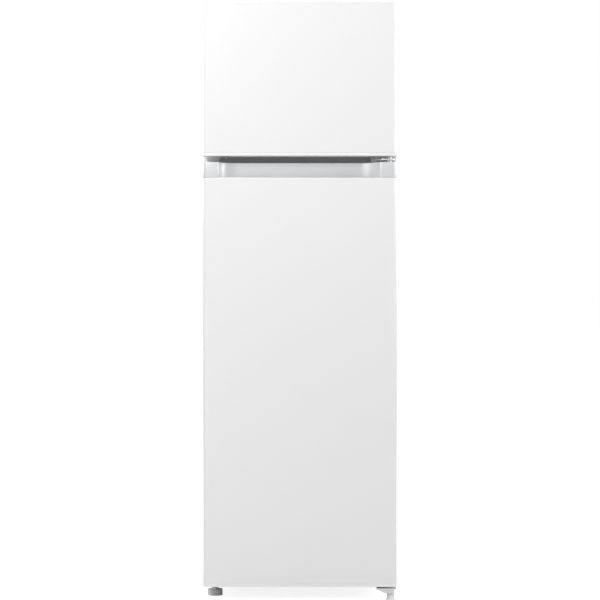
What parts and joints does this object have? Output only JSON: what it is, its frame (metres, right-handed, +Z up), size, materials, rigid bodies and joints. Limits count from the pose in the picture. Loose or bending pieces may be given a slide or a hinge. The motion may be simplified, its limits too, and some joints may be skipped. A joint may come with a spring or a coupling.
{
  "type": "top freezer refrigerator",
  "caption": "Slim free-standing refrigerator with a freezer door above a taller door, recessed silver grip, glass shelves, crisper drawer, wire condenser and compressor bay.",
  "frame": {"origin": "on the floor, under the middle of the bounding box", "axes": "+Z up, the doors face -Y, +X to the right of a person facing the doors; both doors are hinged on the +X side"},
  "size_m": [0.54, 0.6, 1.6765],
  "materials": {
    "white_enamel": "gloss white stoved enamel",
    "white_trim": "white moulded trim",
    "silver_trim": "silver lacquered moulding",
    "liner_white": "vacuum-formed white liner",
    "foam": "rigid foam, pale yellow",
    "gasket_grey": "soft pale grey seal",
    "zinc_steel": "zinc-coated sheet",
    "black_steel": "satin black paint",
    "black_plastic": "fine-grained black moulding",
    "black_rubber": "matt",
    "copper": "drawn copper, lightly tarnished",
    "evaporator_alloy": "mill finish",
    "drain_white": "plain",
    "inner_white": "white moulding",
    "lens_clear": "clear, finely ribbed",
    "shelf_glass": "toughened clear glass with a green edge",
    "coated_wire": "white dip coating",
    "clear_plastic": "clear polystyrene",
    "foot_grey": "light grey moulding",
    "roller_black": "hard black moulding"
  },
  "bodies": {
    "cabinet": {"cabinet_shell": "white_enamel", "insulation_foam": "foam", "freezer_liner": "liner_white", "fridge_liner": "liner_white", "mullion_rail": "zinc_steel", "bottom_panel": "zinc_steel", "bay_bulkhead": "zinc_steel", "back_panel": "zinc_steel", "compressor_base": "zinc_steel", "compressor": "black_steel", "compressor_grommets": "black_rubber", "starter_box": "black_plastic", "condenser_tube": "black_steel", "condenser_wires": "black_steel", "condenser_brackets": "black_plastic", "filter_drier": "copper", "refrigerant_lines": "copper", "evaporating_tray": "black_plastic", "drain_tube": "drain_white", "evaporators": "evaporator_alloy", "roller_brackets": "zinc_steel", "top_hinge": "zinc_steel", "top_hinge_cover": "white_trim", "mid_hinge": "zinc_steel", "bottom_hinge": "zinc_steel", "cabinet_screws": "zinc_steel", "hinge_hole_plugs": "white_trim", "control_housing": "inner_white", "lamp_lens": "lens_clear", "lamp_and_thermostat": "inner_white", "freezer_shelf": "coated_wire", "glass_shelf_upper": "shelf_glass", "glass_shelf_middle": "shelf_glass", "glass_shelf_lower": "shelf_glass", "crisper_glass": "shelf_glass", "shelf_trims": "inner_white"},
    "freezer_door": {"freezer_door_skin": "white_enamel", "freezer_door_top_cap": "white_trim", "freezer_door_bottom_cap": "white_trim", "freezer_door_foam": "foam", "freezer_door_liner": "liner_white", "freezer_door_gasket": "gasket_grey", "freezer_door_bins": "clear_plastic"},
    "fridge_door": {"fridge_door_skin": "white_enamel", "handle_trim": "silver_trim", "fridge_door_bottom_cap": "white_trim", "fridge_door_foam": "foam", "fridge_door_liner": "liner_white", "fridge_door_gasket": "gasket_grey", "dairy_bin": "clear_plastic", "fridge_door_bins": "clear_plastic", "bottle_bin": "clear_plastic"},
    "crisper": {"crisper_drawer": "clear_plastic"},
    "thermostat": {"thermostat_knob": "inner_white"},
    "light_switch": {"light_switch_plunger": "inner_white"},
    "dairy_flap": {"dairy_flap": "clear_plastic"},
    "left_foot": {"left_foot": "foot_grey"},
    "right_foot": {"right_foot": "foot_grey"},
    "left_roller": {"left_roller": "roller_black"},
    "right_roller": {"right_roller": "roller_black"}
  },
  "joints": [
    {"name": "freezer_door_hinge", "type": "hinge", "parent": "cabinet", "child": "freezer_door", "pos_m": [0.25, -0.262, 1.45], "axis": [0, 0, 1], "range_deg": [0, 115]},
    {"name": "fridge_door_hinge", "type": "hinge", "parent": "cabinet", "child": "fridge_door", "pos_m": [0.25, -0.262, 0.6], "axis": [0, 0, 1], "range_deg": [0, 115]},
    {"name": "crisper_slide", "type": "slide", "parent": "cabinet", "child": "crisper", "axis": [0, -1, 0], "range_m": [0, 0.17]},
    {"name": "dairy_flap_hinge", "type": "hinge", "parent": "fridge_door", "child": "dairy_flap", "pos_m": [0, -0.23, 1.076], "axis": [1, 0, 0], "range_deg": [0, 85]},
    {"name": "thermostat_turn", "type": "hinge", "parent": "cabinet", "child": "thermostat", "pos_m": [-0.055, -0.12, 1.15], "axis": [0, 0, -1], "range_deg": [0, 300]},
    {"name": "light_switch_press", "type": "slide", "parent": "cabinet", "child": "light_switch", "axis": [0, 1, 0], "range_m": [0, 0.004], "stiffness_N_per_m": 150},
    {"name": "left_foot_turn", "type": "hinge", "parent": "cabinet", "child": "left_foot", "pos_m": [-0.241, -0.196, 0.02], "axis": [0, 0, 1], "continuous": true},
    {"name": "right_foot_turn", "type": "hinge", "parent": "cabinet", "child": "right_foot", "pos_m": [0.253, -0.282, 0.02], "axis": [0, 0, 1], "continuous": true},
    {"name": "left_roller_spin", "type": "hinge", "parent": "cabinet", "child": "left_roller", "pos_m": [-0.222, 0.238, 0.014], "axis": [1, 0, 0], "continuous": true},
    {"name": "right_roller_spin", "type": "hinge", "parent": "cabinet", "child": "right_roller", "pos_m": [0.222, 0.238, 0.014], "axis": [1, 0, 0], "continuous": true}
  ],
  "couplings": [
    {"joint": "crisper_slide", "follows": "fridge_door_hinge", "m_per_rad": 0.084698}
  ]
}
